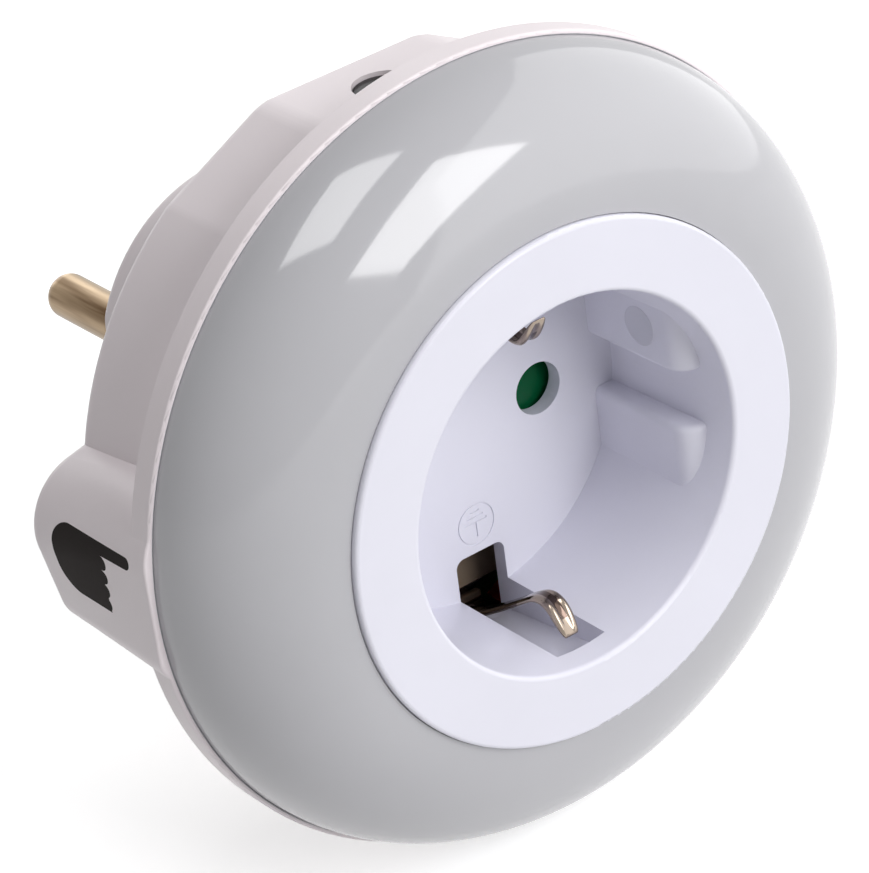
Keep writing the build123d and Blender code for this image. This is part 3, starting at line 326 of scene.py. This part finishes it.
SLOT_FINISH = {
    "insert_white": moulded("socket_plastic", SOCKET_WHITE, 0.32),
    "housing_white": moulded("shell_plastic", SHELL_WHITE, 0.38, pits=0.12),
    "opal": moulded("opal_plastic", OPAL_GREY, 0.09, pits=0.02, shine=0.72),
    "mark_black": moulded("printed_black", (0.033, 0.028, 0.027), 0.6, clouds=0.3, shine=0.03),
    "shutter_green": moulded("shutter_green", (0.002, 0.115, 0.04), 0.25, clouds=0.2, shine=0.2),
    "inner_grey": moulded("carrier_plastic", (0.45, 0.45, 0.46), 0.5),
    "inner_white": moulded("reflector_plastic", (0.85, 0.85, 0.85), 0.3),
    "sensor_dark": moulded("sensor_plastic", (0.012, 0.011, 0.012), 0.25, pits=0.02, clouds=0.3, shine=0.12),
    "cell_clear": moulded("cell_resin", (0.55, 0.5, 0.42), 0.15),
    "board_white": moulded("board_white", (0.82, 0.82, 0.8), 0.35),
    "board_green": moulded("board_green", (0.01, 0.1, 0.03), 0.3, clouds=0.3),
    "led_yellow": moulded("phosphor", (0.85, 0.7, 0.15), 0.4),
    "capacitor_red": moulded("capacitor_dip", (0.35, 0.02, 0.01), 0.2),
    "can_aluminium": rolled_metal("can_aluminium", (0.8, 0.8, 0.82), 0.3, (1.0, 0.05, 1.0)),
    "chip_black": moulded("chip_black", (0.02, 0.02, 0.02), 0.6),
    "resistor_tan": moulded("resistor_ceramic", (0.55, 0.42, 0.25), 0.6),
    "brass": rolled_metal("contact_brass", BRASS, 0.25, (1.0, 0.08, 1.0)),
    "copper": rolled_metal("foil_copper", (0.75, 0.36, 0.22), 0.25, (1.0, 0.08, 1.0)),
    "spring_steel": rolled_metal("spring_steel", (0.6, 0.6, 0.62), 0.25, (1.0, 0.1, 1.0)),
    "screw_zinc": rolled_metal("screw_zinc", (0.65, 0.65, 0.68), 0.3, (1.0, 1.0, 1.0)),
    "clip_nickel": rolled_metal("clip_nickel", NICKEL, 0.12, ALONG_CLIP),
    "lead_black": moulded("lead_black", (0.02, 0.02, 0.02), 0.4),
    "lead_blue": moulded("lead_blue", (0.02, 0.08, 0.4), 0.4),
    "lead_brown": moulded("lead_brown", (0.14, 0.05, 0.02), 0.4),
}
for part in frame["record"]["subparts"]:
    mesh = NODES[part["node"]].data
    mesh.materials.clear()
    mesh.materials.append(SLOT_FINISH[part["material_slot"]])

# %% [markdown]
# Two kinds of piece look older than the rest of their slot. The straps that lead the earth inwards are
# brown and dull, and the pins are tarnished, with painted reflections in streaks along them, so both
# get a finish of their own.

# %% Straps and pins
strap_finish = rolled_metal("tarnished_strap", (0.30, 0.22, 0.17), 0.45, ALONG_CLIP)
for end in ("bottom", "top"):
    NODES[f"earth_strap_{end}"].data.materials[0] = strap_finish
pin_finish = tarnish_and_reflection_pin("tarnish_and_reflection_pin")
for side in ("left", "right"):
    NODES[f"plug_pin_{side}"].data.materials[0] = pin_finish
print("older finishes:", strap_finish.name, pin_finish.name)

# %% [markdown]
# The earth clips are strips of spring metal, rolled down at both edges, and a trough is pressed in the
# front half with a raised border that runs round the nose. Such a strip is a row of faces that follows
# a bent line. So one short row is added at the hinge, and its front edge is extruded from bend to
# bend. Then the border is raised and the edges are lowered, before a wall and smooth subdivision
# finish it. The faces beside the trough and at the nose get a paler copy of the dark clip nickel.
# It is partly the wear where plugs rub, and partly a painted highlight.

# %% Helpers for edit mode
def start_piece(add, **where):
    """Adds a primitive alone: nothing else stays selected, so no operator can touch the solids."""
    bpy.ops.object.select_all(action="DESELECT")
    add(**where)
    return bpy.context.object


def pick(piece, wanted, kind="VERT"):
    """In edit mode, selects the vertices or faces that pass a test, and nothing else."""
    bpy.ops.object.mode_set(mode="EDIT")
    bpy.ops.mesh.select_mode(type=kind)
    bpy.ops.mesh.select_all(action="DESELECT")
    bpy.ops.object.mode_set(mode="OBJECT")
    parts = piece.data.vertices if kind == "VERT" else piece.data.polygons
    for element in parts:
        element.select = wanted(element)
    bpy.ops.object.mode_set(mode="EDIT")


def settle(piece):
    """Leaves edit mode and moves the piece's place into its mesh, with its object at the origin."""
    bpy.ops.object.mode_set(mode="OBJECT")
    bpy.ops.object.transform_apply(location=True, rotation=True, scale=True)


def finish_with(piece, kind, **settings):
    """Adds a modifier and applies it at once."""
    modifier = piece.modifiers.new(kind.title(), kind)
    for key, value in settings.items():
        setattr(modifier, key, value)
    bpy.ops.object.modifier_apply(modifier=modifier.name)


SMOOTH_UP_TO = radians(40)


def ease_edges(piece, width, segments):
    """Rounds the sharp edges by a hair, and shades what is left as smooth up to an angle."""
    finish_with(piece, "BEVEL", width=width, segments=segments, limit_method="ANGLE")
    bpy.ops.object.shade_smooth_by_angle(angle=SMOOTH_UP_TO)


print("helpers: start_piece, pick, settle, finish_with, ease_edges")

# %% Flat strip along the clip's bends
CLIP_COLUMNS = 6
CLIP_HALF_WIDTH = 1.2 * MM
CLIP_ROW = 0.3 * MM
NOSE_TAPER = 0.72
SAME_PLACE = 0.001 * MM


def bend_places(hinge, inward, bends):
    """The bends' places, from steps off the hinge: to the front, and in towards the well's axis."""
    return [hinge + Vector((0, -front, inward * rise)) * MM for front, rise in bends]


def flat_strip(name, places):
    """One row of faces at the hinge, whose front edge is extruded from bend to bend."""
    clip = start_piece(bpy.ops.mesh.primitive_grid_add, x_subdivisions=CLIP_COLUMNS, y_subdivisions=1,
                       size=2 * CLIP_HALF_WIDTH, location=places[0])
    clip.name = name
    clip.scale.y = CLIP_ROW / (2 * CLIP_HALF_WIDTH)
    settle(clip)
    front = min(vertex.co.y for vertex in clip.data.vertices)
    pick(clip, lambda vertex: abs(vertex.co.y - front) < SAME_PLACE)
    for last, new in zip(places, places[1:]):
        bpy.ops.mesh.extrude_region_move(TRANSFORM_OT_translate={"value": new - last})
    bpy.ops.transform.resize(value=(NOSE_TAPER, 1, 1), center_override=places[-1])
    return clip


print("strip:", CLIP_COLUMNS, "columns,", round(2 * CLIP_HALF_WIDTH / MM, 1), "mm wide")

# %% Trough, rolled edges and worn border with a painted highlight
TROUGH_BEND = 3
BORDER_FROM = 0.5
BORDER_TO = 0.82
TROUGH_HALF = 1 / 3
BORDER_HEIGHT = 0.3 * MM
EDGE_ROLL = 0.3 * MM
CLIP_WALL = 0.42 * MM
# A paler copy of the clip's dark nickel: partly wear where plugs rub, partly a painted highlight.
RUBBED_AND_HIGHLIGHT_NICKEL = rolled_metal("rubbed_and_highlight_nickel", (0.36, 0.295, 0.24), 0.14, ALONG_CLIP)


def in_border(place, trough_back, nose_back):
    """The raised border of the trough: a line near each edge, and the row across the nose."""
    across = abs(place.x) / CLIP_HALF_WIDTH
    by_the_edge = BORDER_FROM < across < BORDER_TO
    on_the_nose = across < BORDER_TO and place.y < nose_back
    return place.y < trough_back and (by_the_edge or on_the_nose)


def in_rubbed_and_highlight_part(place, trough_back, nose_back):
    """What a plug rubs on, and where a highlight is painted in paler nickel: everything from the trough's back to
    the nose except the trough itself.
    """
    beside_the_trough = abs(place.x) > CLIP_HALF_WIDTH * TROUGH_HALF
    return place.y < trough_back and (beside_the_trough or place.y < nose_back)


def press(clip, places, inward):
    """Presses the flat strip into its shape and gives it its wall."""
    trough_back = places[TROUGH_BEND].y
    nose_back = places[-2].y - CLIP_ROW
    for finish in (SLOT_FINISH["clip_nickel"], RUBBED_AND_HIGHLIGHT_NICKEL):
        clip.data.materials.append(finish)
    # The faces beside the trough and at the nose take the paler nickel, partly wear and partly a painted
    # highlight.
    pick(clip, lambda face: in_rubbed_and_highlight_part(face.center, trough_back, nose_back), "FACE")
    clip.active_material_index = 1
    bpy.ops.object.material_slot_assign()
    pick(clip, lambda vertex: in_border(vertex.co, trough_back, nose_back))
    bpy.ops.transform.translate(value=(0, -BORDER_HEIGHT, inward * BORDER_HEIGHT / 2))
    pick(clip, lambda vertex: abs(vertex.co.x) > CLIP_HALF_WIDTH * BORDER_TO)
    bpy.ops.transform.translate(value=(0, 0, -inward * EDGE_ROLL))
    bpy.ops.mesh.select_all(action="SELECT")
    bpy.ops.mesh.normals_make_consistent(inside=False)
    bpy.ops.object.mode_set(mode="OBJECT")
    finish_with(clip, "SOLIDIFY", thickness=CLIP_WALL, offset=0.0)
    finish_with(clip, "SUBSURF", levels=3, render_levels=3)
    bpy.ops.object.shade_smooth()


print("border", round(BORDER_HEIGHT / MM, 2), "mm high, wall", round(CLIP_WALL / MM, 2), "mm")

# %% Hinge roll
ROLL_R = 0.7 * MM
ROLL_EDGE = 0.12 * MM


def hinge_roll(hinge, width):
    """The strip's rolled end, which turns in its cradle."""
    roll = start_piece(bpy.ops.mesh.primitive_cylinder_add, vertices=48, radius=ROLL_R, depth=width,
                       location=hinge, rotation=(0, radians(90), 0))
    settle(roll)
    ease_edges(roll, ROLL_EDGE, 3)
    roll.data.materials.append(SLOT_FINISH["clip_nickel"])
    return roll


print("hinge roll:", round(2 * ROLL_R / MM, 1), "mm across")

# %% [markdown]
# The two clips differ only in their bends, which are written as steps from the hinge in millimetres:
# how far to the front, and how far in towards the well's axis. The strip and its roll are joined into
# one piece, which stands for the plain clip among the solids and turns with the same body.

# %% Earth clips
CLIP_BENDS = {
    "bottom": [(0, 0), (3.2, 1.2), (7.9, 3.9), (11.4, 6.2), (13.2, 7.35), (14.6, 7.8), (15.9, 7.4),
               (16.9, 6.1), (17.6, 4.3)],
    "top": [(0, 0), (3.2, 1.2), (7.9, 4.7), (11.4, 7.4), (13.8, 8.9), (15.4, 9.45), (16.6, 9.2),
            (17.6, 7.9), (18.4, 6.1)],
}
joints = {joint["name"]: Vector(joint["pos_m"]) for joint in frame["joints"]}
for end, bends in CLIP_BENDS.items():
    node = f"earth_clip_{end}"
    hinge = joints[f"clip_{end}_flex"]
    inward = -1.0 if hinge.z > 0 else 1.0
    low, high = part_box(node)
    places = bend_places(hinge, inward, bends)
    strip = flat_strip(f"pressed_clip_{end}", places)
    press(strip, places, inward)
    roll = hinge_roll(hinge, high.x - low.x)
    bpy.ops.object.select_all(action="DESELECT")
    roll.select_set(True)
    strip.select_set(True)
    bpy.context.view_layer.objects.active = strip
    bpy.ops.object.join()
    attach(strip, f"clip_{end}")
    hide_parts(node)
    print(node, "faces:", len(strip.data.polygons))

# %% [markdown]
# Through the slot beside the lower clip a piece of dull sheet metal can be seen, which closes the way
# to the boards behind. Its upper edge is folded back, as a bent tab would be, and the sheet stands
# clear of the clip's strap. So a thin block is added, its back is cut just below the upper edge, the
# strip above the cut is extruded backwards, and all edges are eased.

# %% Plate behind the lower slot
PLATE_LOW = Vector((-3.2, -31.4, -21.0)) * MM
PLATE_HIGH = Vector((6.1, -31.0, -14.6)) * MM
PLATE_SHEET = 0.4 * MM
PLATE_TAB = 0.8 * MM
PLATE_EDGE = 0.08 * MM
plate = start_piece(bpy.ops.mesh.primitive_cube_add, size=1.0, location=(PLATE_LOW + PLATE_HIGH) / 2)
plate.name = "slot_plate"
plate.scale = PLATE_HIGH - PLATE_LOW
settle(plate)
pick(plate, lambda face: face.normal.y > 0.9, "FACE")
bpy.ops.mesh.bisect(plane_co=(0, 0, PLATE_HIGH.z - PLATE_SHEET), plane_no=(0, 0, 1))
pick(plate, lambda face: face.normal.y > 0.9 and face.center.z > PLATE_HIGH.z - PLATE_SHEET, "FACE")
bpy.ops.mesh.extrude_region_move(TRANSFORM_OT_translate={"value": (0, PLATE_TAB, 0)})
bpy.ops.object.mode_set(mode="OBJECT")
ease_edges(plate, PLATE_EDGE, 2)
plate.data.materials.append(moulded("dull_plate", (0.30, 0.23, 0.17), 0.4, pits=0.2, clouds=0.4))
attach(plate, "housing")
print("slot plate:", tuple(round(value / MM, 1) for value in plate.dimensions))

# %% [markdown]
# The mould pushed the socket out with round ejector pins. One of them left its mark on the upper
# guide rib: a faint smooth disc. It is a thin cylinder with a bevelled edge, half sunk in the rib's
# face, and its middle is inset and pressed in a hair, as the pin's end leaves it.

# %% Ejector mark on the guide rib
MARK_R = 2.1 * MM
MARK_RING = MARK_R * 0.12
MARK_PROUD = 0.04 * MM
MARK_EDGE = 0.02 * MM
MARK_DEPTH = 9.75 * MM
MARK_HEIGHT = 6.8 * MM
RIB_FACE_X = 16.4 * MM
socket_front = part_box("socket_insert")[0].y
mark_place = Vector((RIB_FACE_X, socket_front + MARK_DEPTH, MARK_HEIGHT))
mark = start_piece(bpy.ops.mesh.primitive_cylinder_add, vertices=64, radius=MARK_R, depth=2 * MARK_PROUD,
                   location=mark_place, rotation=(0, radians(90), 0))
mark.name = "ejector_mark"
settle(mark)
pick(mark, lambda face: face.normal.x < -0.9, "FACE")
bpy.ops.mesh.inset(thickness=MARK_RING)
bpy.ops.transform.translate(value=(MARK_PROUD / 2, 0, 0))
bpy.ops.object.mode_set(mode="OBJECT")
ease_edges(mark, MARK_EDGE, 2)
mark.data.materials.append(moulded("mark_plastic", shade(SOCKET_WHITE, 0.88), 0.25, pits=0.02))
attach(mark, "housing")
print("ejector mark at", tuple(round(value / MM, 1) for value in mark_place))

# %% [markdown]
# A dark window is pressed into the sensor's hole, so the dusk sensor looks out from just under the
# surface. It is crowned a little, like a watch glass: the top of a short cylinder is inset twice, and
# each inner face is raised.

# %% Sensor window
WINDOW_R = 2.95 * MM
WINDOW_RISE = 0.3 * MM
WINDOW_CROWN = 0.06 * MM
WINDOW_EDGE = 0.08 * MM
WINDOW_STEPS = (0.35, 0.2)
lens_low, lens_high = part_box("sensor_lens")
window_place = Vector(((lens_low.x + lens_high.x) / 2, (lens_low.y + lens_high.y) / 2,
                       lens_high.z + WINDOW_RISE / 2))
window = start_piece(bpy.ops.mesh.primitive_cylinder_add, vertices=96, radius=WINDOW_R, depth=WINDOW_RISE,
                     location=window_place)
window.name = "sensor_window"
settle(window)
pick(window, lambda face: face.normal.z > 0.9, "FACE")
for step in WINDOW_STEPS:
    bpy.ops.mesh.inset(thickness=WINDOW_R * step)
    bpy.ops.transform.translate(value=(0, 0, WINDOW_CROWN * step / WINDOW_STEPS[0]))
bpy.ops.object.mode_set(mode="OBJECT")
ease_edges(window, WINDOW_EDGE, 3)
window.data.materials.append(SLOT_FINISH["sensor_dark"])
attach(window, "housing")
print("sensor window top:", round(max(vertex.co.z for vertex in window.data.vertices) / MM, 2), "mm")

# %% [markdown]
# A thin bead of opal closes the seam between the glowing ring and the shell's rim, where a dark line
# would show. It is a thin torus whose front line is pressed in, so its face is flat, as a wiped joint
# is.

# %% Seam bead
BEAD_R = 0.04 * MM
BEAD_FRONT = BEAD_R * 0.2
BEAD_PRESS = BEAD_R * 0.3
SEAM_GAP = 0.1 * MM
ring_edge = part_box("diffuser")[1].x
rim_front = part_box("rear_housing")[0].y
seam = start_piece(bpy.ops.mesh.primitive_torus_add, major_segments=256, minor_segments=8,
                   major_radius=ring_edge + SEAM_GAP / 2, minor_radius=BEAD_R,
                   location=(0, rim_front + BEAD_R, 0), rotation=(radians(90), 0, 0))
seam.name = "seam_bead"
settle(seam)
pick(seam, lambda vertex: vertex.co.y < rim_front + BEAD_FRONT)
bpy.ops.transform.translate(value=(0, BEAD_PRESS, 0))
bpy.ops.object.mode_set(mode="OBJECT")
bpy.ops.object.shade_smooth()
seam.data.materials.append(SLOT_FINISH["opal"])
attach(seam, "housing")
print("seam bead round", round(ring_edge / MM, 2), "mm, at depth", round(rim_front / MM, 2), "mm")

# %% [markdown]
# The table stands under the rim, the night light's lowest point. It is white paper: matt, so it keeps
# a soft shadow. What the camera sees of it is lifted to the white of the air behind.

# %% Table
TABLE_R = 0.6
TABLE_GAP = 0.05 * MM
TABLE_SHADE = 0.78
TABLE_LIFT = 0.6
FIBRE_SCALE = 40.0
FIBRE_SHADE = 0.98
table_height = cad_box[0][2] - TABLE_GAP
table = start_piece(bpy.ops.mesh.primitive_circle_add, vertices=128, radius=TABLE_R, fill_type="NGON",
                    location=(0, AIM.y, table_height))
table.name = "table"
settle(table)
paper, nodes, links, shader = blank_material("table_paper")
shader.inputs["Roughness"].default_value = 1.0
shader.inputs["Specular IOR Level"].default_value = 0.0
fibres = noise(nodes, links, FIBRE_SCALE)
paper_white = (TABLE_SHADE, TABLE_SHADE, TABLE_SHADE)
links.new(ramp(nodes, links, fibres, shade(paper_white, FIBRE_SHADE), paper_white),
          shader.inputs["Base Color"])
shader.inputs["Emission Color"].default_value = WHITE
bright_where_seen(nodes, links, shader.inputs["Emission Strength"], 0.0, TABLE_LIFT)
table.data.materials.append(paper)
print("table at", round(table_height / MM, 2), "mm")
